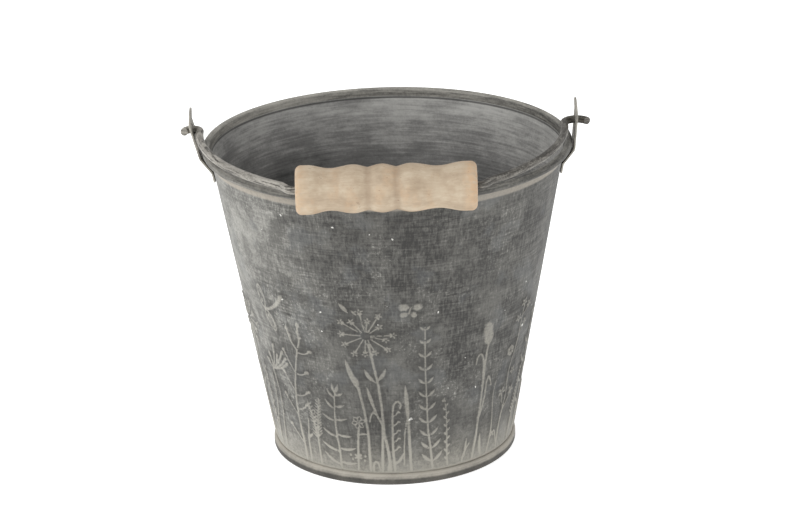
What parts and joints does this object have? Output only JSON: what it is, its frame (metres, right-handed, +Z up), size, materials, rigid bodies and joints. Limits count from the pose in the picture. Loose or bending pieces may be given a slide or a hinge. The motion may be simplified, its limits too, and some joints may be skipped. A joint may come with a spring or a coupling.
{
  "type": "florist bucket",
  "caption": "Small tapered zinc flower bucket with a meadow embossed in its wall, a wired rim, upright ears and a folding wire bail with a turned wooden grip.",
  "frame": {"origin": "centre of the foot circle, on the ground", "axes": "+Z up along the bucket's axis; the ears and the bail's hinge lie along X; the bail lies folded down towards -Y, which is the front"},
  "size_m": [0.2207, 0.2208, 0.1956],
  "materials": {
    "whitewashed_zinc": "matt grey zinc patina with rubbed whitewash, paler on the embossing",
    "foot_zinc": "darker zinc patina on the folded foot and the bottom",
    "ear_zinc": "pale whitewashed zinc, matt",
    "wire_steel": "dull zinc-coated wire with specks of whitewash",
    "raw_beech": "turned, sanded and left unvarnished"
  },
  "bodies": {
    "bucket": {"wall": "whitewashed_zinc", "rim_wire": "wire_steel", "base": "foot_zinc", "ear_left": "ear_zinc", "ear_right": "ear_zinc"},
    "bail": {"bail": "wire_steel"},
    "grip": {"grip": "raw_beech"}
  },
  "joints": [
    {"name": "bail_swing", "type": "hinge", "parent": "bucket", "child": "bail", "pos_m": [0, 0, 0.183], "axis": [-1, 0, 0], "range_deg": [0, 180]},
    {"name": "grip_spin", "type": "hinge", "parent": "bail", "child": "grip", "pos_m": [-0.001, -0.1082, 0.183], "axis": [1, 0, 0], "continuous": true}
  ]
}
